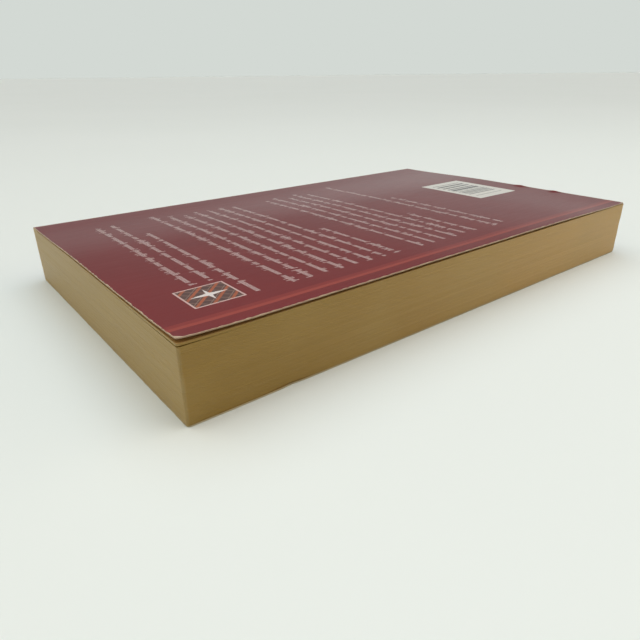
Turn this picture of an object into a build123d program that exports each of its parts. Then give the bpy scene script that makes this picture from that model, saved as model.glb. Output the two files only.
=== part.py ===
"""Perfect-bound paperback book, lying on its front cover with its back cover up.

Frame: origin at the middle of the underside. +Z is up, +Y points to the head (top edge) of the
book and +X points to the spine, so the fore-edge is at -X. Lengths are in millimetres.

The book is a block of trimmed leaves, glued along its milled spine into one sheet of printed card.
The card wraps the spine and is glued to the outermost leaves over a narrow strip on each side. Each
cover opens at the score that ends its strip, so the card is made here as three solids that meet at
the two scores: the spine with its strips, the back cover and the front cover.
"""

from build123d import *

import os

# Trimmed size of the closed book.
BOOK_WIDTH = 109.0
BOOK_HEIGHT = 178.0
BOOK_THICKNESS = 18.5

# Cover card and the way it is folded round the spine.
CARD = 0.3
FOLD_INNER_RADIUS = 0.3
FOLD_OUTER_RADIUS = FOLD_INNER_RADIUS + CARD
STRIP_WIDTH = 6.5
WORN_CORNER_RADIUS = 0.9

# Glue between the card and the leaves.
SPINE_GLUE = 0.5
SIDE_GLUE = 0.1
SIDE_GLUE_WIDTH = 4.5

# Places that follow from the sizes above.
FORE_EDGE_X = -BOOK_WIDTH / 2
SPINE_X = BOOK_WIDTH / 2
SCORE_X = SPINE_X - STRIP_WIDTH
CARD_INNER_X = SPINE_X - CARD
LEAVES_SPINE_X = CARD_INNER_X - SPINE_GLUE
LEAVES_BOTTOM_Z = CARD + SIDE_GLUE
LEAVES_TOP_Z = BOOK_THICKNESS - CARD - SIDE_GLUE


def slab(x_range, z_range):
    """A box as tall as the book, from its x and z limits."""
    (x_low, x_high), (z_low, z_high) = x_range, z_range
    middle = ((x_low + x_high) / 2, 0, (z_low + z_high) / 2)
    return Pos(*middle) * Box(x_high - x_low, BOOK_HEIGHT, z_high - z_low)


def spine_wrap(outer_x, z_range, fold_radius):
    """The solid from the scores to outer_x, with its two long edges at outer_x rounded."""
    body = slab((SCORE_X, outer_x), z_range)
    long_edges = body.edges().filter_by(Axis.Y).group_by(Axis.X)[-1]
    return fillet(long_edges, fold_radius)


def inside_of_card():
    """The room between the two strips and the spine panel."""
    return spine_wrap(CARD_INNER_X, (CARD, BOOK_THICKNESS - CARD), FOLD_INNER_RADIUS)


def make_text_block():
    """All the leaves, pressed together, trimmed on three edges and milled at the spine."""
    return slab((FORE_EDGE_X, LEAVES_SPINE_X), (LEAVES_BOTTOM_Z, LEAVES_TOP_Z))


def make_cover_spine():
    """The folded middle of the card: the spine panel and the strip glued down on each side."""
    outside = spine_wrap(SPINE_X, (0, BOOK_THICKNESS), FOLD_OUTER_RADIUS)
    return outside - inside_of_card()


def make_cover(z_low):
    """One cover, from its score to the fore-edge, with its two free corners worn round."""
    panel = slab((FORE_EDGE_X, SCORE_X), (z_low, z_low + CARD))
    free_corners = panel.edges().filter_by(Axis.Z).group_by(Axis.X)[0]
    return fillet(free_corners, WORN_CORNER_RADIUS)


def make_spine_glue():
    """Hot-melt glue that fills the room between the milled spine and the card."""
    room = slab((LEAVES_SPINE_X, SPINE_X), (0, BOOK_THICKNESS))
    return inside_of_card() & room


def make_side_glue(z_low):
    """The thin line of glue that holds a strip of the card to the outermost leaf."""
    x_range = (LEAVES_SPINE_X - SIDE_GLUE_WIDTH, LEAVES_SPINE_X)
    return slab(x_range, (z_low, z_low + SIDE_GLUE))


def main():
    parts = {
        "text_block": make_text_block(),
        "spine_glue": make_spine_glue(),
        "back_side_glue": make_side_glue(LEAVES_TOP_Z),
        "front_side_glue": make_side_glue(CARD),
        "cover_spine": make_cover_spine(),
        "back_cover": make_cover(BOOK_THICKNESS - CARD),
        "front_cover": make_cover(0),
    }
    os.makedirs("parts", exist_ok=True)
    for node, solid in parts.items():
        export_step(solid, f"parts/{node}.step")


main()
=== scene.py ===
"""Looks of a used pocket paperback, lying on its front cover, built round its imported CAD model.

The frame has its origin in the middle of the underside, +X towards the spine, +Y towards the head of
the pages and +Z up. Shapes are worked out in millimetres and written in metres. The cover is one
printed sheet of card that wraps the book, so its three pieces share one pair of sheet coordinates in
millimetres: u runs across the sheet from the back cover's fore-edge, round the spine, to the front
cover's fore-edge, and v runs down from the head.
"""

import math

import bpy
import numpy as np
from mathutils import Matrix, Vector


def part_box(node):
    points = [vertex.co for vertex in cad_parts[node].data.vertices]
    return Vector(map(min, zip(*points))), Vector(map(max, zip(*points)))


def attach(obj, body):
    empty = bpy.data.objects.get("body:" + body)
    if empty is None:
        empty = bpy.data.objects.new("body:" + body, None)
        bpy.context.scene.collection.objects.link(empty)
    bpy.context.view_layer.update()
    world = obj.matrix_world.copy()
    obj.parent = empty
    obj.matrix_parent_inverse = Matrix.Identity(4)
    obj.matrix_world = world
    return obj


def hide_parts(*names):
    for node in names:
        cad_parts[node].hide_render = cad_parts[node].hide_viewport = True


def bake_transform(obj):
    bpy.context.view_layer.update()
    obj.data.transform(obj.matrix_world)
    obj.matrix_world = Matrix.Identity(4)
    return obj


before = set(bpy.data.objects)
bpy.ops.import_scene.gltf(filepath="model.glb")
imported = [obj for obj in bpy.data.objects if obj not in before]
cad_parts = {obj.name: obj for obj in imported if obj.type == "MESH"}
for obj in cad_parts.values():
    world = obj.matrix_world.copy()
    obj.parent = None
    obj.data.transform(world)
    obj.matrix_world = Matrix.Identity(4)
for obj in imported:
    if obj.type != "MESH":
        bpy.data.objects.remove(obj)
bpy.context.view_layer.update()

MM = 0.001
SHEET_MAP = "sheet_mm"
# Faces that meet at more than this angle keep a sharp edge.
SHARP_FROM = math.radians(38)

# Sizes of the frame, in millimetres.
cover_low, cover_high = (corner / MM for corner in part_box("back_cover"))
wrap_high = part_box("cover_spine")[1] / MM
block_low, block_high = (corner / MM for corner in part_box("text_block"))
FORE_X = cover_low.x
SCORE_X = cover_high.x
SPINE_X = wrap_high.x
HALF_HEIGHT = cover_high.y
HEIGHT = 2 * HALF_HEIGHT
THICKNESS = wrap_high.z
CARD = cover_high.z - cover_low.z
COVER_WIDTH = SCORE_X - FORE_X
BLOCK_WIDTH = block_high.x - block_low.x

# The card's path round the spine, measured along its outer face.
FOLD_RADIUS = 2 * CARD
FOLD_LENGTH = FOLD_RADIUS * math.pi / 2
STRIP_LENGTH = SPINE_X - SCORE_X - FOLD_RADIUS
PANEL_LENGTH = THICKNESS - 2 * FOLD_RADIUS
WRAP_LENGTH = 2 * STRIP_LENGTH + 2 * FOLD_LENGTH + PANEL_LENGTH
SHEET_WIDTH = 2 * COVER_WIDTH + WRAP_LENGTH
FOLD_PLACES = (COVER_WIDTH + STRIP_LENGTH, COVER_WIDTH + STRIP_LENGTH + 2 * FOLD_LENGTH + PANEL_LENGTH)

# The stretch of each cover, next to its score, that bends as the cover opens.
BEND_WIDTH = 3.0

# The card's free edges: the radius of a worn corner, how far the trimming wanders and the periods of
# its waves along the ends and the fore-edge, the distances from the score between which the waves of
# each grow to their full size, and how far the two faces are rubbed back at the edge. CARD_LEVELS are
# the heights of the rim's points, as shares of the card's thickness.
WORN_CORNER = 0.9
TRIM_WANDER = 0.05
END_PERIODS = (23.0, 9.7, 4.1)
FORE_EDGE_PERIODS = (47.0, 15.0, 6.3)
END_FADE = (2, 12)
FORE_EDGE_FADE = (80, 100)
EDGE_ROUNDING = 0.05
CARD_LEVELS = np.array([0, 0.25, 0.75, 1])

# How the back cover has opened up with use: heights above its flat shape, and the lengths over which
# they are reached.
BULGE = 0.6
BULGE_LENGTH = 42.0
FORE_EDGE_LIFT = 0.2
CURL_LIFT = 0.5
CURL_LENGTH = 6.0
TAIL_DROP = 0.42
TAIL_DROP_FROM = HEIGHT * 2 / 3
RIPPLE = 0.05
RIPPLE_PERIODS = (61.0, 37.0)

# Knocks on the back cover's tail edge: the place and length of each along the edge, how far they push
# the card up and in, and how far they reach from the edge.
TAIL_KNOCKS = ((27.5, 1.8), (43.0, 2.4))
KNOCK_LIFT = 0.3
KNOCK_INSET = 0.3
KNOCK_REACH = 1.6

# The spine panel's swell and its three creases. Their places, their widths and how far two of them
# wander are shares of the panel's width.
SPINE_SWELL = 0.18
CREASE_PLACES = (0.27, 0.5, 0.76)
CREASE_WANDER = 0.01
BACK_CREASE_PERIODS = (70.0, 31.0)
FRONT_CREASE_PERIODS = (90.0, 23.0)
CREASE_WIDTH = 0.012
CREASE_DEPTH = 0.06

# The leaves: how unevenly their edges stand, where each edge starts and ends in its share of the
# stack, how deep the stack's hollows are, with their periods as shares of its height and the distance
# along it over which they shift by that height, and how the stack rises under the back cover.
LEAVES = 180
LEAF_RELIEF = 0.006
LEAF_EDGE = (0.08, 0.92)
BLOCK_CORNER = 0.5
BLOCK_CLEARANCE = 0.02
HOLLOW = 0.06
HOLLOW_PERIODS = (0.9, 0.37)
HOLLOW_SHIFT = 300.0
PAGES_BULGE = 0.45
PAGES_FORE_EDGE_DROP = 0.12

# The last few leaves, loose at the head corner: how far they rise, how deep the slit below them goes,
# and the lengths over which both die out.
LOOSE_LEAVES = 5
LOOSE_LIFT = 0.26
LOOSE_DEPTH = 0.9
LOOSE_ALONG_HEAD = 15.0
LOOSE_ALONG_FORE_EDGE = 5.0

# The lowest leaves, rubbed back by the tables that the book has lain on, and a nick in their
# fore-edge, which the front cover shares.
FOOT_INSET = 0.15
FOOT_HEIGHT = 0.5
NICK_Y = 64.0
NICK_LENGTH = 2.4
NICK_DEPTH = 0.6


# ---------------------------------------------------------------- shapes

def smooth(value, low, high):
    """0 below low, 1 above high, and the S-shaped step 3t^2 - 2t^3 between them."""
    t = np.clip((value - low) / (high - low), 0, 1)
    return t * t * (3 - 2 * t)


def mark(value, place, length):
    """1 at a place and less on both sides of it, as exp(-(distance / length)^2)."""
    return np.exp(-((value - place) / length) ** 2)


def waves(values, periods, seed):
    """A sum of sines, one for each period, with random phases, scaled to stay within -1 and 1."""
    phases = np.random.default_rng(seed).uniform(0, 2 * np.pi, len(periods))
    return sum(np.sin(2 * np.pi * values / p + f) for p, f in zip(periods, phases)) / len(periods)


def corner_inset(a, radius):
    """How far a quarter circle draws an edge in, a along it: r - sqrt(r^2 - (r - a)^2), then 0."""
    gap = np.clip(radius - a, 0, radius)
    return radius - np.sqrt(radius**2 - gap**2)


def graded(start, stop, first, growth, largest):
    """Places from start to stop whose steps begin at first and grow by a factor up to largest."""
    steps = [first]
    while sum(steps) < stop - start:
        steps.append(min(steps[-1] * growth, largest))
    places = np.concatenate([[0.0], np.cumsum(steps)])
    return start + places * (stop - start) / places[-1]


def from_both_ends(length, first, growth, largest):
    """Places from 0 to length, close together at both ends and graded towards the middle."""
    half = graded(0, length / 2, first, growth, largest)
    return np.concatenate([half, length - half[::-1][1:]])


def slab_skin(columns, rows, levels):
    """Faces of a closed slab, whose points are its lower grid, its upper grid, then its rim's rings.

    Each grid has columns x rows points. The rim joins the two grids' outlines with levels - 1 bands
    of quads, and has levels - 2 rings of points of its own. Returns the faces, how many of them are
    in the lower grid, the upper grid and the rim, and where the outline's points are in a grid.
    """
    grid = np.arange(columns * rows).reshape(columns, rows)
    quads = np.stack([grid[:-1, :-1], grid[1:, :-1], grid[1:, 1:], grid[:-1, 1:]], -1).reshape(-1, 4)
    outline = np.concatenate([grid[:-1, 0], grid[-1, :-1], grid[:0:-1, -1], grid[0, :0:-1]])
    rings = 2 * grid.size + np.arange((levels - 2) * len(outline)).reshape(-1, len(outline))
    bands = np.vstack([outline[None], rings, outline[None] + grid.size])
    low, high = bands[:-1], bands[1:]
    rim = np.stack([low, np.roll(low, -1, 1), np.roll(high, -1, 1), high], -1).reshape(-1, 4)
    faces = np.vstack([quads[:, ::-1], quads + grid.size, rim])
    return faces, (len(quads), len(quads), len(rim)), outline


def slab_parameters(across, along, levels, outline):
    """Where each point of a slab is: its place across, its place along and the number of its level."""
    a, b = (part.ravel() for part in np.meshgrid(across, along, indexing="ij"))
    rings = np.arange(1, levels - 1)
    a_all = np.concatenate([a, a, np.tile(a[outline], len(rings))])
    b_all = np.concatenate([b, b, np.tile(b[outline], len(rings))])
    ring_levels = np.repeat(rings, len(outline))
    level = np.concatenate([np.zeros(a.size, int), np.full(a.size, levels - 1), ring_levels])
    return a_all, b_all, level


def make_piece(name, points, faces, counts, materials, sheet=None):
    """One object from points in millimetres, with a material for its lower grid, upper grid and rim.

    sheet gives each point's u and v, for a piece of the printed sheet.
    """
    mesh = bpy.data.meshes.new(name)
    mesh.from_pydata((points * MM).tolist(), [], faces.tolist())
    for material in materials:
        mesh.materials.append(material)
    mesh.polygons.foreach_set("material_index", np.repeat(np.arange(3), counts))
    mesh.polygons.foreach_set("use_smooth", np.ones(len(faces), bool))
    if sheet is not None:
        corners = np.empty(len(mesh.loops), np.int32)
        mesh.loops.foreach_get("vertex_index", corners)
        layer = mesh.uv_layers.new(name=SHEET_MAP)
        layer.data.foreach_set("uv", sheet[corners].astype(np.float32).ravel())
    mesh.set_sharp_from_angle(angle=SHARP_FROM)
    mesh.update()
    piece = bpy.data.objects.new(name, mesh)
    bpy.context.scene.collection.objects.link(piece)
    return piece


# The rows and columns of points that the cover's pieces share. Their steps are finest at the free
# edges, and a cover has even columns where it bends.
ROW_Y = from_both_ends(HEIGHT, first=0.25, growth=1.3, largest=1.6) - HALF_HEIGHT
FLAT_COLUMNS = graded(0, COVER_WIDTH - BEND_WIDTH, first=0.1, growth=1.35, largest=0.9)
BEND_COLUMNS = np.linspace(COVER_WIDTH - BEND_WIDTH, COVER_WIDTH, 16)
COVER_COLUMNS = np.concatenate([FLAT_COLUMNS[:-1], BEND_COLUMNS])


def cover_rise(a, v):
    """How far the back cover stands above its flat place, a from its fore-edge and v from the head.

    It leaves the score by an S-shaped step, rises with the square of the distance towards the fore-edge,
    less so in the third next to the tail, and curls up round the head corner as exp(-distance). A long
    low wave runs along it. The knocks push the tail edge up and die out from it as exp(-distance^2).
    """
    share = np.clip(1 - a / COVER_WIDTH, 0, 1)
    bulge = smooth(COVER_WIDTH - a, 0, BULGE_LENGTH)
    near_tail = smooth(v, TAIL_DROP_FROM, HEIGHT)
    curl = np.exp(-np.hypot(a, v) / CURL_LENGTH)
    ripple = RIPPLE * waves(v, RIPPLE_PERIODS, 3) * share
    knocks = sum(mark(a, place, length) for place, length in TAIL_KNOCKS)
    knocks = KNOCK_LIFT * knocks * mark(v, HEIGHT, KNOCK_REACH)
    return (BULGE * bulge + knocks + FORE_EDGE_LIFT * share**2 + CURL_LIFT * curl
            - TAIL_DROP * near_tail * share**2 + ripple)


def pages_rise(a):
    """How far the top leaf's edge stands above the pressed block: as the cover, but less."""
    share = np.clip(1 - a / COVER_WIDTH, 0, 1)
    bulge = smooth(COVER_WIDTH - a, 0, BULGE_LENGTH)
    return PAGES_BULGE * bulge - PAGES_FORE_EDGE_DROP * share**2


def worn_outline(a, y, seed, is_back):
    """Moves the points of a cover's flat outline in, for its worn corners, trimming, knocks and nick.

    The two free corners are quarter circles. The fore-edge, head and tail wander by sums of sines,
    which die out before the score, where the cover meets the spine. The knocks push the back cover's
    tail in, and the nick goes into the front cover's fore-edge, both as exp(-distance^2).
    """
    from_score = COVER_WIDTH - a
    wander = TRIM_WANDER * smooth(from_score, *END_FADE) * (1 + waves(a, END_PERIODS, seed))
    knocks = KNOCK_INSET * sum(mark(a, place, length) for place, length in TAIL_KNOCKS) * is_back
    inset = corner_inset(a, WORN_CORNER) + wander + np.where(y < 0, knocks, 0)
    fore_edge = TRIM_WANDER * (1 + waves(y, FORE_EDGE_PERIODS, seed + 1))
    if not is_back:
        fore_edge += NICK_DEPTH / 2 * mark(y, NICK_Y, NICK_LENGTH)
    return a + fore_edge * smooth(from_score, *FORE_EDGE_FADE), y * (1 - inset / HALF_HEIGHT)


def round_the_edges(a, y, level):
    """Draws the rim's first and last level in along the free edges, so that they are not sharp."""
    edge = np.isin(level, (0, len(CARD_LEVELS) - 1)) * EDGE_ROUNDING
    at_fore_edge = (a <= COVER_COLUMNS[0]) * edge
    at_ends = (np.abs(y) >= HALF_HEIGHT) * edge
    return a + at_fore_edge, y * (1 - at_ends / HALF_HEIGHT)


def make_cover(name, is_back, materials):
    """A cover: a slab of card whose height is its flat place plus, on the back, cover_rise."""
    faces, counts, outline = slab_skin(len(COVER_COLUMNS), len(ROW_Y), len(CARD_LEVELS))
    a, y, level = slab_parameters(COVER_COLUMNS, ROW_Y, len(CARD_LEVELS), outline)
    v = HALF_HEIGHT - y
    edge_a, edge_y = round_the_edges(a, y, level)
    worn_a, worn_y = worn_outline(edge_a, edge_y, 11 if is_back else 29, is_back)
    base = THICKNESS - CARD + cover_rise(a, v) if is_back else 0
    points = np.stack([FORE_X + worn_a, worn_y, base + CARD_LEVELS[level] * CARD], -1)
    u = worn_a if is_back else SHEET_WIDTH - worn_a
    sheet = np.stack([u, HALF_HEIGHT - worn_y], -1)
    return make_piece(name, points, faces, counts, materials, sheet)


def make_spine_card(name, materials):
    """The card round the spine: a slab carried along the outside of the folds.

    Along the card the direction turns by a quarter circle at each fold. The place is the sum of the
    straight strip, the arc R sin(t), R (1 - cos(t)), the straight panel, the second arc and the second
    strip. The inner face lies one card's thickness in from it, along the normal. The panel swells by
    a half sine across it, and its creases are drawn in as exp(-distance^2).
    """
    strip = np.linspace(0, STRIP_LENGTH, 6)
    fold = np.linspace(0, FOLD_LENGTH, 9)
    panel = np.linspace(0, PANEL_LENGTH, 60)
    fold_at, panel_at = STRIP_LENGTH, STRIP_LENGTH + FOLD_LENGTH
    second_fold_at = panel_at + PANEL_LENGTH
    runs = [strip, fold_at + fold[1:], panel_at + panel[1:], second_fold_at + fold[1:]]
    columns = np.concatenate([*runs, second_fold_at + FOLD_LENGTH + strip[1:]])
    faces, counts, outline = slab_skin(len(columns), len(ROW_Y), len(CARD_LEVELS))
    s, y, level = slab_parameters(columns, ROW_Y, len(CARD_LEVELS), outline)
    first = np.clip((s - fold_at) / FOLD_LENGTH, 0, 1) * math.pi / 2
    second = np.clip((s - second_fold_at) / FOLD_LENGTH, 0, 1) * math.pi / 2
    strip_run = np.clip(s, 0, STRIP_LENGTH)
    panel_run = np.clip(s - panel_at, 0, PANEL_LENGTH)
    last_run = np.clip(s - second_fold_at - FOLD_LENGTH, 0, STRIP_LENGTH)
    turn = first + second
    across = panel_run / PANEL_LENGTH
    back_crease, middle_crease, front_crease = CREASE_PLACES
    crease_at = (
        back_crease + CREASE_WANDER * waves(y, BACK_CREASE_PERIODS, 5),
        middle_crease,
        front_crease + CREASE_WANDER * waves(y, FRONT_CREASE_PERIODS, 7),
    )
    creases = sum(mark(across, place, CREASE_WIDTH) for place in crease_at)
    on_panel = (across > 0) * (across < 1)
    swell = SPINE_SWELL * np.sin(math.pi * across) - CREASE_DEPTH * creases * on_panel
    out = swell - CARD * (1 - CARD_LEVELS[level])
    x = SCORE_X + strip_run + FOLD_RADIUS * np.sin(first) - FOLD_RADIUS * (1 - np.cos(second)) - last_run
    z = THICKNESS - FOLD_RADIUS * (1 - np.cos(first)) - panel_run - FOLD_RADIUS * np.sin(second)
    _, y = round_the_edges(COVER_WIDTH + s, y, level)
    points = np.stack([x + out * np.sin(turn), y, z + out * np.cos(turn)], -1)
    sheet = np.stack([COVER_WIDTH + s, HALF_HEIGHT - y], -1)
    return make_piece(name, points, faces, counts, materials, sheet)


def make_leaves(name, materials):
    """The text block: a slab whose rim has two levels for each leaf.

    Each leaf's edge stands in or out by a random amount, the same at its two levels, and the stack's
    height follows pages_rise. Two more levels make the slit below the loose leaves: they go in, and the
    leaves above them rise, by exp(-distance from the head corner), with a length of its own for the
    distance along each edge. The foot goes in by exp(-height), more so at the nick. The corners at the
    fore-edge are quarter circles, and two sines up the stack, which shift along it, hollow the fore-edge.
    """
    leaf = np.arange(LEAVES)
    chance = np.random.default_rng(8)
    relief = LEAF_RELIEF * chance.normal(0, 1, LEAVES).clip(-2, 2) + LEAF_RELIEF * 2
    low_edge, high_edge = LEAF_EDGE
    heights = np.stack([leaf + low_edge, leaf + high_edge], 1).ravel() / LEAVES
    heights[[0, -1]] = 0, 1
    insets = np.repeat(relief, 2)
    slit = 2 * (LEAVES - LOOSE_LEAVES)
    slit_height = (LEAVES - LOOSE_LEAVES) / LEAVES
    heights = np.insert(heights, slit, [slit_height] * 2)
    insets = np.insert(insets, slit, [0.0] * 2)
    levels = len(heights)
    loose = np.arange(levels) > slit
    in_slit = np.isin(np.arange(levels), (slit, slit + 1))
    columns = from_both_ends(BLOCK_WIDTH, first=0.04, growth=1.7, largest=6.0)
    rows = from_both_ends(HEIGHT, first=0.3, growth=1.5, largest=5.0) - HALF_HEIGHT
    faces, counts, outline = slab_skin(len(columns), len(rows), levels)
    a, y, level = slab_parameters(columns, rows, levels, outline)
    v = HALF_HEIGHT - y
    near = np.exp(-np.hypot(a / LOOSE_ALONG_HEAD, v / LOOSE_ALONG_FORE_EDGE))
    nick = NICK_DEPTH * mark(y, NICK_Y, NICK_LENGTH) * (a < BLOCK_WIDTH / 2)
    foot = (FOOT_INSET + nick) * np.exp(-heights[level] * THICKNESS / FOOT_HEIGHT)
    inset = insets[level] + foot + in_slit[level] * LOOSE_DEPTH * near
    hollow = HOLLOW * waves(heights[level] + y / HOLLOW_SHIFT, HOLLOW_PERIODS, 4)
    x = block_low.x + a + (inset + hollow + LEAF_RELIEF) * (1 - a / BLOCK_WIDTH)
    y = y * (1 - (inset + corner_inset(a, BLOCK_CORNER)) / HALF_HEIGHT)
    bottom = CARD + BLOCK_CLEARANCE
    stack = block_high.z - bottom + pages_rise(a)
    z = bottom + heights[level] * stack + loose[level] * LOOSE_LIFT * near
    return make_piece(name, np.stack([x, y, z], -1), faces, counts, materials)


# ---------------------------------------------------------------- materials

def add(tree, kind, inputs=(), **settings):
    """Adds one shader node with its settings. inputs maps a socket to a node, an output or a value."""
    made = tree.nodes.new("ShaderNode" + kind)
    for name, value in settings.items():
        setattr(made, name, value)
    for socket, value in dict(inputs).items():
        if isinstance(value, bpy.types.Node):
            value = value.outputs[0]
        if isinstance(value, bpy.types.NodeSocket):
            tree.links.new(value, made.inputs[socket])
        else:
            made.inputs[socket].default_value = value
    return made


def colour(code):
    """An sRGB hex colour as linear RGBA."""
    parts = [int(code[i:i + 2], 16) / 255 for i in (1, 3, 5)]
    return [p / 12.92 if p <= 0.04045 else ((p + 0.055) / 1.055) ** 2.4 for p in parts] + [1.0]


def start_material(name):
    """An empty material with a principled shader joined to its output."""
    material = bpy.data.materials.new(name)
    material.use_nodes = True
    tree = material.node_tree
    tree.nodes.clear()
    shader = add(tree, "BsdfPrincipled")
    add(tree, "OutputMaterial", {"Surface": shader})
    return material, tree, shader


def paint(tree, layers):
    """Layers of colour from the ground up: the first is the ground, the rest are (mask, colour)."""
    top, *marks = layers
    for mask, ink in marks:
        top = add(tree, "Mix", {0: mask, 6: top, 7: ink}, data_type="RGBA").outputs[2]
    return top


def stripe_mask(tree, area, place, low, high):
    """1 on a stripe of an area: where place lies between low and high, times the area's own mask."""
    span = {0: place, 1: (low + high) / 2, 2: (high - low) / 2}
    stripe = add(tree, "Math", span, operation="COMPARE")
    return add(tree, "Math", {0: stripe, 1: area}, operation="MULTIPLY")


def off_centre(tree, place, centre, half):
    """How far a place on the sheet is from a centre, across and down, as shares of the half sizes."""
    offset = add(tree, "VectorMath", {0: place, 1: (*centre, 0)}, operation="SUBTRACT")
    size = add(tree, "VectorMath", {0: offset}, operation="ABSOLUTE")
    return add(tree, "VectorMath", {0: size, 1: (*half, 1)}, operation="DIVIDE")


def box_mask(tree, place, centre, half):
    """1 inside a box on the sheet: where the larger of the two shares is below 1."""
    shares = add(tree, "SeparateXYZ", {0: off_centre(tree, place, centre, half)})
    larger = add(tree, "Math", {0: shares.outputs[0], 1: shares.outputs[1]}, operation="MAXIMUM")
    return add(tree, "Math", {0: larger, 1: 1.0}, operation="LESS_THAN")


def lozenge_mask(tree, place, centre, half):
    """1 inside a lozenge on the sheet: where the two shares add up to less than 1."""
    shares = off_centre(tree, place, centre, half)
    total = add(tree, "VectorMath", {0: shares, 1: (1, 1, 0)}, operation="DOT_PRODUCT").outputs["Value"]
    return add(tree, "Math", {0: total, 1: 1.0}, operation="LESS_THAN")


def sheet_margins(tree, u, v):
    """How far a place on the sheet is from its nearer fore-edge, and from its head or tail."""
    far_u = add(tree, "Math", {0: SHEET_WIDTH, 1: u}, operation="SUBTRACT")
    far_v = add(tree, "Math", {0: HEIGHT, 1: v}, operation="SUBTRACT")
    side = add(tree, "Math", {0: u, 1: far_u}, operation="MINIMUM")
    end = add(tree, "Math", {0: v, 1: far_v}, operation="MINIMUM")
    return side, end


# Print on the back cover, in sheet millimetres: u from the fore-edge and v from the head. The lines
# of type have a pitch, margins and a ragged right edge, and their letters have these sizes.
LINE_PITCH = 4.93
FIRST_LINE_TOP = 12.73
TEXT_LEFT = 11.2
TEXT_RIGHT = 96.5
RAGGED = 7.0
BASELINE = 3.25
X_HEIGHT = 1.2
ASCENDER = 0.85
DESCENDER = 0.75
LETTER_WIDTH = 1.2
STROKE = 0.2
SLANT = 0.22
WORD_LENGTH = 7.2
WORD_GAP = 1.0
# Where in its share of the line a word's gap may fall: the first place, and how far it may be moved.
GAP_FIRST = 0.15
GAP_SPREAD = 0.7
# How much ink joins a word's strokes, and which random numbers make a letter tall or low.
WORD_WASH = 0.1
TALL_FROM = 0.7
LOW_BELOW = 0.14
# Each paragraph is its first line's number, how many lines it has, where they start and where the
# last one ends.
PARAGRAPHS = (
    (0, 2, 24.5, 93.0),
    (2, 1, TEXT_LEFT, 75.0),
    (4, 8, TEXT_LEFT, 44.0),
    (13, 6, TEXT_LEFT, 40.0),
    (20, 2, TEXT_LEFT, 62.0),
)


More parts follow.
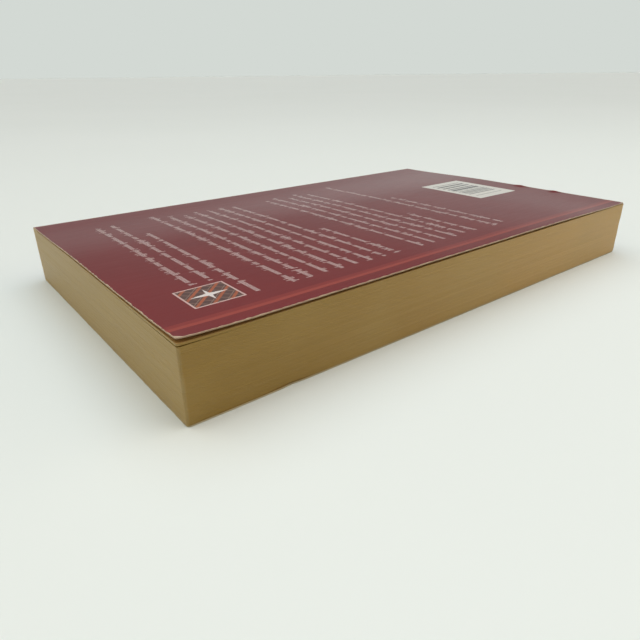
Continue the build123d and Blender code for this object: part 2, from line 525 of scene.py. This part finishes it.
def text_mask(tree, u, v):
    """Greeked print: slanted strokes in rows, broken into words, that stand for lines of type.

    A row is a step of LINE_PITCH down the sheet. Along a row, which leans by SLANT, two strokes stand in
    each step of LETTER_WIDTH, and one gap falls at a random place in each step of WORD_LENGTH. A random
    number of the row and the letter makes some first strokes taller and some letters lower, and the
    strokes of a word are joined by a thin wash of ink.
    """
    row_place = add(tree, "Math", {0: v, 1: -FIRST_LINE_TOP}, operation="ADD")
    rows = add(tree, "Math", {0: row_place, 1: LINE_PITCH}, operation="DIVIDE")
    row = add(tree, "Math", {0: rows}, operation="FLOOR")
    row_share = add(tree, "Math", {0: rows}, operation="FRACT")
    height = add(tree, "Math", {0: row_share, 1: -LINE_PITCH, 2: BASELINE}, operation="MULTIPLY_ADD")
    leaning = add(tree, "Math", {0: height, 1: -SLANT, 2: u}, operation="MULTIPLY_ADD")

    words = add(tree, "Math", {0: leaning, 1: WORD_LENGTH}, operation="DIVIDE")
    word = add(tree, "Math", {0: words}, operation="FLOOR")
    word_share = add(tree, "Math", {0: words}, operation="FRACT")
    word_place = add(tree, "CombineXYZ", {0: word, 1: row})
    word_chance = add(tree, "TexWhiteNoise", {0: word_place}, noise_dimensions="2D").outputs["Value"]
    gap_range = {0: word_chance, 1: GAP_SPREAD, 2: GAP_FIRST}
    gap_at = add(tree, "Math", gap_range, operation="MULTIPLY_ADD")
    off_gap = add(tree, "Math", {0: word_share, 1: gap_at}, operation="SUBTRACT")
    gap = add(tree, "Math", {0: off_gap}, operation="ABSOLUTE")
    in_word = add(tree, "Math", {0: gap, 1: WORD_GAP / WORD_LENGTH / 2}, operation="GREATER_THAN")

    letters = add(tree, "Math", {0: leaning, 1: LETTER_WIDTH}, operation="DIVIDE")
    letter = add(tree, "Math", {0: letters}, operation="FLOOR")
    letter_share = add(tree, "Math", {0: letters}, operation="FRACT")
    letter_place = add(tree, "CombineXYZ", {0: letter, 1: row})
    letter_chance = add(tree, "TexWhiteNoise", {0: letter_place}, noise_dimensions="2D")
    chances = add(tree, "SeparateColor", {0: letter_chance.outputs["Color"]})
    strokes = add(tree, "Math", {0: letters, 1: 2.0}, operation="MULTIPLY")
    stroke_share = add(tree, "Math", {0: strokes}, operation="FRACT")
    half_stroke = STROKE / LETTER_WIDTH
    first_half = add(tree, "Math", {0: letter_share, 1: 0.5}, operation="LESS_THAN")
    is_tall = add(tree, "Math", {0: chances.outputs[0], 1: TALL_FROM}, operation="GREATER_THAN")
    is_low = add(tree, "Math", {0: chances.outputs[1], 1: LOW_BELOW}, operation="LESS_THAN")
    tall = add(tree, "Math", {0: is_tall, 1: first_half}, operation="MULTIPLY")
    top = add(tree, "Math", {0: tall, 1: ASCENDER, 2: X_HEIGHT}, operation="MULTIPLY_ADD")
    bottom = add(tree, "Math", {0: is_low, 1: -DESCENDER}, operation="MULTIPLY")
    below_top = add(tree, "Math", {0: height, 1: top}, operation="LESS_THAN")
    above_bottom = add(tree, "Math", {0: height, 1: bottom}, operation="GREATER_THAN")
    in_reach = add(tree, "Math", {0: below_top, 1: above_bottom}, operation="MULTIPLY")
    stroke = stripe_mask(tree, in_reach, stroke_share, 0.5 - half_stroke, 0.5 + half_stroke)
    wash = stripe_mask(tree, WORD_WASH, height, 0.0, X_HEIGHT)
    ink = add(tree, "Math", {0: stroke, 1: wash}, operation="MAXIMUM")
    ink_in_words = add(tree, "Math", {0: ink, 1: in_word}, operation="MULTIPLY")

    line_chance = add(tree, "TexWhiteNoise", {1: row}, noise_dimensions="1D").outputs["Value"]
    ragged = add(tree, "Math", {0: line_chance, 1: -RAGGED, 2: TEXT_RIGHT}, operation="MULTIPLY_ADD")
    lettering = 0.0
    for first, count, left, last_end in PARAGRAPHS:
        before_last = add(tree, "Math", {0: row, 1: first + count - 1.5}, operation="LESS_THAN")
        reach = {0: before_last, 1: TEXT_RIGHT, 2: last_end}
        limit = add(tree, "Math", reach, operation="MULTIPLY_ADD")
        end = add(tree, "Math", {0: ragged, 1: limit}, operation="MINIMUM")
        after_left = add(tree, "Math", {0: u, 1: left}, operation="GREATER_THAN")
        before_end = add(tree, "Math", {0: u, 1: end}, operation="LESS_THAN")
        column = add(tree, "Math", {0: after_left, 1: before_end}, operation="MULTIPLY")
        paragraph = stripe_mask(tree, column, row, first - 0.5, first + count - 0.5)
        lettering = add(tree, "Math", {0: lettering, 1: paragraph}, operation="MAXIMUM")
    return add(tree, "Math", {0: ink_in_words, 1: lettering}, operation="MULTIPLY")


# The ornament box by the first lines, and its slanted bands: the pitch of each set of bands across
# its slant, and which share of a pitch each band covers.
ORNAMENT_CENTRE = (16.9, 15.7)
ORNAMENT_HALF = (5.75, 6.25)
ORNAMENT_FRAME = 0.45
DOWN_PITCH = 4.3
UP_PITCH = 2.9
RIBBON = (0.25, 0.5)
VEIN = (0.62, 0.68)
LEAF_BAND = (0.4, 0.62)
STAR_TALL = (0.85, 4.9)
STAR_WIDE = (3.4, 0.6)


def ornament_layers(tree, place, u, v):
    """A small framed box: crossing slanted ribbons on a dark ground, with a pale four-pointed star."""
    outer = box_mask(tree, place, ORNAMENT_CENTRE, ORNAMENT_HALF)
    inner_half = [half - ORNAMENT_FRAME for half in ORNAMENT_HALF]
    inner = box_mask(tree, place, ORNAMENT_CENTRE, inner_half)
    down = add(tree, "Math", {0: u, 1: v}, operation="SUBTRACT")
    up = add(tree, "Math", {0: u, 1: v}, operation="ADD")
    down_steps = add(tree, "Math", {0: down, 1: DOWN_PITCH}, operation="DIVIDE")
    up_steps = add(tree, "Math", {0: up, 1: UP_PITCH}, operation="DIVIDE")
    down_share = add(tree, "Math", {0: down_steps}, operation="FRACT")
    up_share = add(tree, "Math", {0: up_steps}, operation="FRACT")
    tall = lozenge_mask(tree, place, ORNAMENT_CENTRE, STAR_TALL)
    wide = lozenge_mask(tree, place, ORNAMENT_CENTRE, STAR_WIDE)
    star = add(tree, "Math", {0: tall, 1: wide}, operation="MAXIMUM")
    return [
        (outer, colour("#d8b9b2")),
        (inner, colour("#5f433e")),
        (stripe_mask(tree, inner, up_share, *LEAF_BAND), colour("#836356")),
        (stripe_mask(tree, inner, down_share, *RIBBON), colour("#b0603f")),
        (stripe_mask(tree, inner, down_share, *VEIN), colour("#9c7f70")),
        (star, colour("#efe6e1")),
    ]


PANEL_CENTRE = (53.6, 155.4)
PANEL_HALF = (15.1, 11.6)
BARS_CENTRE = (53.6, 155.0)
BARS_HALF = (11.4, 8.4)
BAR_STEP = 0.36
BARS_FROM = 0.52


def barcode_layers(tree, place, u):
    """A white panel with a block of bars and no digits: a step is a bar if its random number is high."""
    panel = box_mask(tree, place, PANEL_CENTRE, PANEL_HALF)
    field = box_mask(tree, place, BARS_CENTRE, BARS_HALF)
    steps = add(tree, "Math", {0: u, 1: BAR_STEP}, operation="DIVIDE")
    step = add(tree, "Math", {0: steps}, operation="FLOOR")
    chance = add(tree, "TexWhiteNoise", {1: step}, noise_dimensions="1D").outputs["Value"]
    bars = stripe_mask(tree, field, chance, BARS_FROM, 1.0)
    return [(panel, colour("#f6f3ea")), (bars, colour("#757371"))]


# How far in from an edge the film has rubbed off, at least and at most. Round a corner, a place counts
# as near as the sum of its distances from the two edges, less CORNER_WEAR.
WEAR_LEAST = 0.15
WEAR_MOST = 0.5
CORNER_WEAR = 1.6


def edge_wear_mask(tree, place, u, side, end):
    """Where the film has rubbed off: nearer to an edge, a corner or a fold than a noise reaches."""
    edge = add(tree, "Math", {0: side, 1: end}, operation="MINIMUM")
    corner = add(tree, "Math", {0: side, 1: end}, operation="ADD")
    corner_gap = add(tree, "Math", {0: corner, 1: -CORNER_WEAR}, operation="ADD")
    gap = add(tree, "Math", {0: edge, 1: corner_gap}, operation="MINIMUM")
    for fold in FOLD_PLACES:
        offset = add(tree, "Math", {0: u, 1: fold}, operation="SUBTRACT")
        distance = add(tree, "Math", {0: offset}, operation="ABSOLUTE")
        gap = add(tree, "Math", {0: gap, 1: distance}, operation="MINIMUM")
    # Patches of wear about 2 mm across.
    rub = add(tree, "TexNoise", {"Vector": place, "Scale": 0.5, "Detail": 4.0, "Roughness": 0.6})
    wear = {"To Min": WEAR_LEAST, "To Max": WEAR_MOST}
    reach = add(tree, "MapRange", {"Value": rub, "From Min": 0.4, "From Max": 0.75, **wear})
    return add(tree, "Math", {0: gap, 1: reach}, operation="LESS_THAN")


# Two printed rules along each fore-edge, as distances from it.
BRIGHT_RULE = (3.75, 4.95)
DIM_RULE = (4.95, 6.4)
# The roughness below the film's top gloss: between scuffs, in them, and where the film has gone.
CLEAN_ROUGH = 0.33
SCUFFED_ROUGH = 0.39
BARE_ROUGH = 0.8


def printed_card():
    """Coated card, litho printed in maroon and covered with a polypropylene film.

    The film gives a soft shine that grows at low angles, with a faint orange-peel and fine scuffs from
    handling. Where it has worn off at the edges, the pale card shows.
    """
    material, tree, shader = start_material("printed_laminated_card")
    place = add(tree, "UVMap", uv_map=SHEET_MAP).outputs[0]
    parts = add(tree, "SeparateXYZ", {0: place})
    u, v = parts.outputs[0], parts.outputs[1]
    side, end = sheet_margins(tree, u, v)
    worn = edge_wear_mask(tree, place, u, side, end)
    # The ink lies a little unevenly, in clouds about 20 mm across.
    cloud = add(tree, "TexNoise", {"Vector": place, "Scale": 0.05, "Detail": 3.0})
    layers = [
        colour("#782122"),
        (cloud, colour("#832625")),
        (stripe_mask(tree, 1.0, side, *BRIGHT_RULE), colour("#a24236")),
        (stripe_mask(tree, 1.0, side, *DIM_RULE), colour("#8f302b")),
        *ornament_layers(tree, place, u, v),
        *barcode_layers(tree, place, u),
        (text_mask(tree, u, v), colour("#eddbd6")),
        (worn, colour("#c8b196")),
    ]
    tree.links.new(paint(tree, layers), shader.inputs["Base Color"])
    # Handling scuffs, about 1 mm wide and 10 mm long.
    drawn_out = {"Rotation": (0, 0, 0.6), "Scale": (0.9, 0.09, 1)}
    scuff_place = add(tree, "Mapping", {"Vector": place, **drawn_out})
    scuffs = add(tree, "TexNoise", {"Vector": scuff_place, "Scale": 1.0, "Detail": 6.0, "Roughness": 0.7})
    gloss = {"To Min": CLEAN_ROUGH, "To Max": SCUFFED_ROUGH}
    film = add(tree, "MapRange", {"Value": scuffs, "From Min": 0.35, "From Max": 0.7, **gloss})
    roughness = add(tree, "Mix", {0: worn, 2: film, 3: BARE_ROUGH})
    tree.links.new(roughness.outputs[0], shader.inputs["Roughness"])
    shader.inputs["IOR"].default_value = 1.49
    shader.inputs["Coat Weight"].default_value = 1.0
    shader.inputs["Coat Roughness"].default_value = 0.2
    shader.inputs["Coat IOR"].default_value = 1.55
    # Orange-peel of the film, about 1.5 mm across, and the step where the film has torn.
    peel = add(tree, "TexNoise", {"Vector": place, "Scale": 0.7, "Detail": 2.0})
    soft = add(tree, "Bump", {"Height": peel, "Strength": 0.12, "Distance": 0.02 * MM})
    step = {"Height": worn, "Strength": 0.6, "Distance": 0.05 * MM, "Normal": soft}
    torn = add(tree, "Bump", step, invert=True)
    tree.links.new(torn.outputs[0], shader.inputs["Normal"])
    return material


def board_edge():
    """The guillotined edge of bleached card, which is matt, fibrous and soiled by handling.

    On the front cover, next to the table, it is painted paler and greyer: a painted light that lifts the
    warm shade where the card meets the table.
    """
    material, tree, shader = start_material("cut_card_edge")
    place = add(tree, "TexCoord").outputs["Object"]
    # Fibre bundles about 0.3 mm across, and soil in patches of about 6 mm.
    fibres = add(tree, "TexNoise", {"Vector": place, "Scale": 3300.0, "Detail": 4.0})
    soil = add(tree, "TexNoise", {"Vector": place, "Scale": 160.0, "Detail": 4.0})
    dirty = add(tree, "MapRange", {"Value": soil, "From Min": 0.45, "From Max": 0.75, "To Max": 0.7})
    height = add(tree, "SeparateXYZ", {0: place}).outputs[2]
    # Painted light: next to the table the edge is painted paler and greyer (#b0a688), lifting the warm
    # shade there.
    painted_light_at_table = add(tree, "Math", {0: height, 1: 2 * CARD * MM}, operation="LESS_THAN")
    layers = [
        colour("#8f7a60"),
        (fibres, colour("#bda78a")),
        (dirty, colour("#8b6554")),
        (painted_light_at_table, colour("#b0a688")),
    ]
    tree.links.new(paint(tree, layers), shader.inputs["Base Color"])
    shader.inputs["Roughness"].default_value = 0.85
    bump = add(tree, "Bump", {"Height": fibres, "Strength": 0.5, "Distance": 0.05 * MM})
    tree.links.new(bump.outputs[0], shader.inputs["Normal"])
    return material


# The radius, in millimetres, that rounds the corners of a browned margin.
MARGIN_ROUNDING = 18.0


def uncoated_card():
    """The uncoated inner side of the card, matt and cream, browned along its open edges.

    The browning goes in from the margins by a noise, and its corners are rounded by a smooth minimum.
    """
    material, tree, shader = start_material("uncoated_card_inside")
    place = add(tree, "UVMap", uv_map=SHEET_MAP).outputs[0]
    parts = add(tree, "SeparateXYZ", {0: place})
    side, end = sheet_margins(tree, parts.outputs[0], parts.outputs[1])
    margin = add(tree, "Math", {0: side, 1: end, 2: MARGIN_ROUNDING}, operation="SMOOTH_MIN")
    # Fibre bundles about 0.5 mm across, and a browned margin that wanders over about 12 mm.
    fibres = add(tree, "TexNoise", {"Vector": place, "Scale": 2.2, "Detail": 5.0, "Roughness": 0.6})
    wander = add(tree, "TexNoise", {"Vector": place, "Scale": 0.08, "Detail": 3.0})
    inset = add(tree, "Math", {0: wander, 1: -9.0, 2: margin}, operation="MULTIPLY_ADD")
    brown_range = {"Value": inset, "From Min": -4.0, "From Max": 9.0, "To Min": 0.85, "To Max": 0.0}
    browned = add(tree, "MapRange", brown_range)
    layers = [colour("#d9cba9"), (fibres, colour("#e9dfc4")), (browned, colour("#b08d58"))]
    tree.links.new(paint(tree, layers), shader.inputs["Base Color"])
    shader.inputs["Roughness"].default_value = 0.8
    bump = add(tree, "Bump", {"Height": fibres, "Strength": 0.25, "Distance": 0.04 * MM})
    tree.links.new(bump.outputs[0], shader.inputs["Normal"])
    return material


def trimmed_edges():
    """The guillotined edges of pulp paper, browned by age and rubbed smooth by handling.

    The pressed edges act as one satin surface, with faint lines along the leaves. The fore-edge is
    darker and browner than the head and the tail. A painted light makes it paler and yellower towards
    its tail end, standing in for the low light and sheen there. It is paler along its two corners,
    where it has rubbed.
    """
    material, tree, shader = start_material("browned_page_edges")
    place = add(tree, "TexCoord").outputs["Object"]
    parts = add(tree, "SeparateXYZ", {0: place})
    x, y = parts.outputs[0], parts.outputs[1]
    # One leaf is about 0.1 mm thick, and its colour changes slowly along its edge. Bands of leaves
    # are about 2 mm thick, and stains are about 20 mm across.
    along = add(tree, "Mapping", {"Vector": place, "Scale": (5, 5, 9000)})
    leaves = add(tree, "TexNoise", {"Vector": along, "Scale": 1.0, "Detail": 2.0, "Roughness": 0.6})
    bands = add(tree, "Mapping", {"Vector": place, "Scale": (3, 3, 500)})
    sections = add(tree, "TexNoise", {"Vector": bands, "Scale": 1.0, "Detail": 2.0})
    stain = add(tree, "TexNoise", {"Vector": place, "Scale": 45.0, "Detail": 4.0})
    # The fore-edge is given darker and browner tones than the head and the tail.
    on_fore_edge = add(tree, "Math", {0: x, 1: (FORE_X + BLOCK_CORNER) * MM}, operation="LESS_THAN")
    # Painted light: towards the tail end the fore-edge's tones grow paler and yellower (#b58f47,
    # #b08a43), standing in for the low light and sheen at that end.
    length = {"Value": y, "From Min": HALF_HEIGHT * MM, "From Max": -HALF_HEIGHT * MM}
    painted_tail_light = add(tree, "MapRange", length, interpolation_type="SMOOTHSTEP")
    fore_light = paint(tree, [colour("#907123"), (painted_tail_light, colour("#b58f47"))])
    fore_dark = paint(tree, [colour("#8b6c20"), (painted_tail_light, colour("#b08a43"))])
    light = paint(tree, [colour("#a28644"), (on_fore_edge, fore_light)])
    dark = paint(tree, [colour("#9d8240"), (on_fore_edge, fore_dark)])
    lined = add(tree, "MapRange", {"Value": leaves, "From Min": 0.3, "From Max": 0.7})
    banded = add(tree, "MapRange", {"Value": sections, "From Min": 0.45, "From Max": 0.8, "To Max": 0.12})
    stained = add(tree, "MapRange", {"Value": stain, "From Min": 0.45, "From Max": 0.8, "To Max": 0.4})
    size = add(tree, "Math", {0: y}, operation="ABSOLUTE")
    from_corner = add(tree, "Math", {0: x, 1: size}, operation="SUBTRACT")
    corner = (FORE_X - HALF_HEIGHT) * MM
    rub_range = {"From Min": corner + 0.2 * MM, "From Max": corner + 0.8 * MM}
    rubbed = add(tree, "MapRange", {"Value": from_corner, **rub_range, "To Min": 0.4, "To Max": 0.0})
    layers = [
        dark,
        (lined, light),
        (banded, dark),
        (stained, colour("#a28746")),
        (rubbed, colour("#b8a271")),
    ]
    tree.links.new(paint(tree, layers), shader.inputs["Base Color"])
    shine_range = {"Value": leaves, "From Min": 0.3, "From Max": 0.7, "To Min": 0.38, "To Max": 0.45}
    roughness = add(tree, "MapRange", shine_range)
    tree.links.new(roughness.outputs[0], shader.inputs["Roughness"])
    shader.inputs["Specular IOR Level"].default_value = 0.55
    bump = add(tree, "Bump", {"Height": leaves, "Strength": 0.15, "Distance": 0.01 * MM})
    tree.links.new(bump.outputs[0], shader.inputs["Normal"])
    return material


def blank_page():
    """The outermost leaf: matt pulp paper, cream in the middle and browned towards its margins.

    The browning goes in from the margins by a noise, and its corners are rounded by a smooth minimum.
    """
    material, tree, shader = start_material("aged_pulp_paper")
    place = add(tree, "TexCoord").outputs["Object"]
    middle = ((block_low.x + block_high.x) / 2 * MM, 0, 0)
    half = (COVER_WIDTH / 2 * MM, HALF_HEIGHT * MM, 1)
    offset = add(tree, "VectorMath", {0: place, 1: middle}, operation="SUBTRACT")
    size = add(tree, "VectorMath", {0: offset}, operation="ABSOLUTE")
    from_edges = add(tree, "VectorMath", {0: half, 1: size}, operation="SUBTRACT")
    insets = add(tree, "SeparateXYZ", {0: from_edges})
    rounded = {0: insets.outputs[0], 1: insets.outputs[1], 2: MARGIN_ROUNDING * MM}
    margin = add(tree, "Math", rounded, operation="SMOOTH_MIN")
    # A browned margin that wanders over about 14 mm, and fibre bundles about 0.6 mm across.
    wander = add(tree, "TexNoise", {"Vector": place, "Scale": 70.0, "Detail": 4.0})
    inset = add(tree, "Math", {0: wander, 1: -12 * MM, 2: margin}, operation="MULTIPLY_ADD")
    brown_range = {"Value": inset, "From Min": -6 * MM, "From Max": 12 * MM, "To Min": 0.9, "To Max": 0.0}
    browned = add(tree, "MapRange", brown_range)
    fibres = add(tree, "TexNoise", {"Vector": place, "Scale": 1800.0, "Detail": 5.0, "Roughness": 0.65})
    layers = [colour("#cbb68a"), (fibres, colour("#dccba4")), (browned, colour("#a37c40"))]
    tree.links.new(paint(tree, layers), shader.inputs["Base Color"])
    shader.inputs["Roughness"].default_value = 0.9
    bump = add(tree, "Bump", {"Height": fibres, "Strength": 0.3, "Distance": 0.03 * MM})
    tree.links.new(bump.outputs[0], shader.inputs["Normal"])
    return material


def hot_melt_glue():
    """Ethylene-vinyl acetate hot-melt glue, rolled on hot: cloudy amber, smooth and faintly rippled."""
    material, tree, shader = start_material("hot_melt_glue")
    place = add(tree, "TexCoord").outputs["Object"]
    # Clouds and ripples about 3 mm across.
    cloud = add(tree, "TexNoise", {"Vector": place, "Scale": 300.0, "Detail": 3.0})
    amber = paint(tree, [colour("#b99a62"), (cloud, colour("#dcc896"))])
    tree.links.new(amber, shader.inputs["Base Color"])
    shader.inputs["Roughness"].default_value = 0.35
    shader.inputs["IOR"].default_value = 1.48
    bump = add(tree, "Bump", {"Height": cloud, "Strength": 0.3, "Distance": 0.05 * MM})
    tree.links.new(bump.outputs[0], shader.inputs["Normal"])
    return material


def painted_table():
    """A table top of board, sprayed with a pale satin paint, which gives only a faint broad shine."""
    material, tree, shader = start_material("pale_table")
    place = add(tree, "TexCoord").outputs["Object"]
    # Faint clouds about 300 mm across.
    cloud = add(tree, "TexNoise", {"Vector": place, "Scale": 3.0, "Detail": 3.0})
    tone = paint(tree, [colour("#e6ece8"), (cloud, colour("#eaefec"))])
    tree.links.new(tone, shader.inputs["Base Color"])
    shader.inputs["Roughness"].default_value = 0.6
    shader.inputs["Specular IOR Level"].default_value = 0.2
    return material


print_face = printed_card()
card_edge = board_edge()
inner_face = uncoated_card()
page_edges = trimmed_edges()
page_face = blank_page()
glue = hot_melt_glue()


# ---------------------------------------------------------------- pieces

leaves = make_leaves("leaves", [page_face, page_face, page_edges])
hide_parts("text_block")
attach(leaves, "bound_block")

spine_card = make_spine_card("spine_card", [inner_face, print_face, card_edge])
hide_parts("cover_spine")
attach(spine_card, "bound_block")

back = make_cover("back_cover_card", True, [inner_face, print_face, card_edge])
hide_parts("back_cover")
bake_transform(back)

front = make_cover("front_cover_card", False, [print_face, inner_face, card_edge])
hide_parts("front_cover")
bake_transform(front)

for node in ("spine_glue", "back_side_glue", "front_side_glue"):
    glue_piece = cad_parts[node]
    glue_piece.material_slots[0].material = glue


# ---------------------------------------------------------------- stage

# The floor, in metres, lies a hair below the book.
FLOOR_HALF = 30.0
FLOOR_GAP = 0.02 * MM

floor_corners = np.array([(-1, -1, 0), (1, -1, 0), (1, 1, 0), (-1, 1, 0)]) * FLOOR_HALF
floor_mesh = bpy.data.meshes.new("floor")
floor_mesh.from_pydata((floor_corners - (0, 0, FLOOR_GAP)).tolist(), [], [(0, 1, 2, 3)])
floor_mesh.materials.append(painted_table())
floor = bpy.data.objects.new("floor", floor_mesh)
bpy.context.scene.collection.objects.link(floor)


def hang_light(name, kind, place, aim, power, tone, **settings):
    """A light at place, in metres, that faces aim."""
    lamp = bpy.data.lights.new(name, kind)
    lamp.energy = power
    lamp.color = colour(tone)[:3]
    for setting, value in settings.items():
        setattr(lamp, setting, value)
    holder = bpy.data.objects.new(name, lamp)
    holder.location = place
    holder.rotation_euler = (Vector(aim) - Vector(place)).to_track_quat("-Z", "Y").to_euler()
    bpy.context.scene.collection.objects.link(holder)


# Daylight from a wide and slightly tilted ceiling, which is the same all over the floor, and a soft box
# over the right of the near side. A low warm window stands off the head, and another off the tail,
# whose light glances along the fore-edge.
CENTRE = (0, 0, 0)
WIDE = math.radians(80)
LESS_WIDE = math.radians(78)

hang_light("ceiling", "SUN", (0.25, -0.06, 1), CENTRE, 1.95, "#edf5fd", angle=WIDE)
hang_light("soft_box", "AREA", (-0.26, -0.12, 0.8), (-0.26, -0.12, 0), 1.65, "#fcfefc", size=0.7)
hang_light("head_window", "SUN", (0.6, 1, 0.6), CENTRE, 1.0, "#ffebc4", angle=WIDE)
hang_light("tail_window", "SUN", (-0.6, -1, 0.35), CENTRE, 1.35, "#ffe6c8", angle=LESS_WIDE)

# The walls that light the room are bright near the horizon and dark higher up, and one side of the
# room is brighter than the other. Towards a direction of a given height, their brightness is
# dark + (bright + direction . lean) exp(-(height / fade)^2). What shows behind the floor is an even
# pale backdrop.
WALLS_DARK = 0.02
WALLS_BRIGHT = 0.78
WALLS_LEAN = (-0.123, -0.158, 0.0)
WALLS_FADE = 0.17

world = bpy.data.worlds.new("room")
world.use_nodes = True
room = world.node_tree
room.nodes.clear()
toward = add(room, "TexCoord").outputs["Generated"]
direction = add(room, "SeparateXYZ", {0: toward})
lean = add(room, "VectorMath", {0: toward, 1: WALLS_LEAN}, operation="DOT_PRODUCT").outputs["Value"]
sided = add(room, "Math", {0: lean, 1: WALLS_BRIGHT}, operation="ADD")
height = add(room, "Math", {0: direction.outputs[2], 1: 1 / WALLS_FADE}, operation="MULTIPLY")
above = add(room, "Math", {0: height, 1: 0.0}, operation="MAXIMUM")
square = add(room, "Math", {0: above, 1: above}, operation="MULTIPLY")
fall = add(room, "Math", {0: square, 1: -1.0}, operation="MULTIPLY")
fade = add(room, "Math", {0: fall}, operation="EXPONENT")
brightness = add(room, "Math", {0: fade, 1: sided, 2: WALLS_DARK}, operation="MULTIPLY_ADD")
walls = add(room, "Background", {0: colour("#f8fffc"), 1: brightness})
backdrop = add(room, "Background", {0: colour("#d3d9d4"), 1: 1.0})
seen = add(room, "LightPath").outputs["Is Camera Ray"]
shown = add(room, "MixShader", {0: seen, 1: walls, 2: backdrop})
add(room, "OutputWorld", {0: shown})
bpy.context.scene.world = world
bpy.context.scene.view_settings.view_transform = "Standard"

# The camera stands off the corner between the fore-edge and the head. Its places are in millimetres.
CAMERA_PLACE = Vector((-138.3, 121.9, 63.1))
CAMERA_AIM = Vector((-47.4, 49.9, 9.5))
CAMERA_ROLL = math.radians(0.6)
CAMERA_LENS = 29.9

camera_data = bpy.data.cameras.new("camera")
camera_data.lens = CAMERA_LENS
camera_data.sensor_width = 36.0
camera_data.clip_start = 0.005
camera = bpy.data.objects.new("camera", camera_data)
looking = (CAMERA_AIM - CAMERA_PLACE).to_track_quat("-Z", "Y").to_matrix()
rolled = looking @ Matrix.Rotation(-CAMERA_ROLL, 3, "Z")
camera.matrix_world = Matrix.Translation(CAMERA_PLACE * MM) @ rolled.to_4x4()
bpy.context.scene.collection.objects.link(camera)
bpy.context.scene.camera = camera
